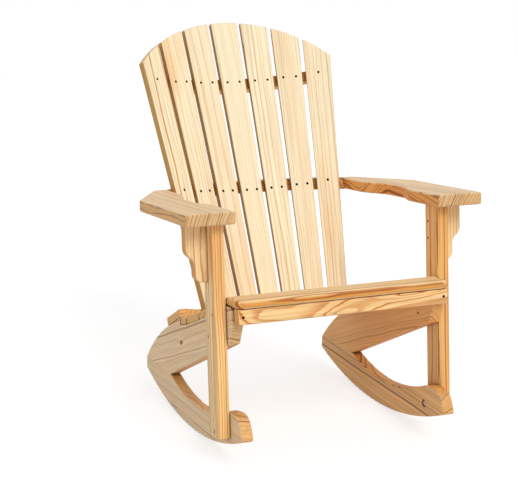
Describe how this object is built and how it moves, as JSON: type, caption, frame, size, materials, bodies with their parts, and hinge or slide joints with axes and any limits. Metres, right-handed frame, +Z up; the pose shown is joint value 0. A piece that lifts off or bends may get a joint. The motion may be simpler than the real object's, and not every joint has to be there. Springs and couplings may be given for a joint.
{
  "type": "rocking chair",
  "caption": "Wooden garden rocking chair on curved rockers, with a reclined, fanned slat back, broad flat arms on shaped brackets and a sloping slatted seat.",
  "frame": {"origin": "on the floor, under the middle of the chair's width and depth, with the chair at rest and empty", "axes": "+X to the sitter's left, +Y to the back of the chair, +Z up"},
  "size_m": [0.734, 0.8449, 0.9333],
  "materials": {
    "pale_pine": "planed, clear matt oil",
    "warm_pine": "planed, clear matt oil",
    "dowel_wood": "plain",
    "screw_steel": "dull, darkened",
    "bolt_steel": "zinc plated"
  },
  "bodies": {
    "root": {"leg_left": "warm_pine", "leg_right": "warm_pine", "arm_left": "pale_pine", "arm_right": "pale_pine", "arm_bracket_left": "warm_pine", "arm_bracket_right": "warm_pine", "rocker_left": "warm_pine", "rocker_right": "warm_pine", "stringer_left": "warm_pine", "stringer_right": "warm_pine", "apron": "warm_pine", "seat_board_1": "warm_pine", "seat_board_2": "warm_pine", "seat_board_3": "warm_pine", "seat_board_4": "warm_pine", "seat_board_5": "warm_pine", "back_rail_upper": "warm_pine", "back_rail_middle": "warm_pine", "back_rail_lower": "warm_pine", "back_slat_1": "pale_pine", "back_slat_2": "pale_pine", "back_slat_3": "pale_pine", "back_slat_4": "pale_pine", "back_slat_5": "pale_pine", "back_slat_6": "pale_pine", "back_slat_7": "pale_pine", "back_screws_upper": "screw_steel", "back_screws_middle": "screw_steel", "back_screws_lower": "screw_steel", "seat_screws": "screw_steel", "lower_rail_screws": "screw_steel", "leg_screws": "screw_steel", "arm_bracket_screws": "screw_steel", "apron_screws": "screw_steel", "rocker_joint_screws": "screw_steel", "arm_tie_screws": "screw_steel", "arm_dowels": "dowel_wood", "rocker_bolts": "bolt_steel", "bolt_washers": "bolt_steel", "bolt_nuts": "bolt_steel"}
  },
  "joints": []
}
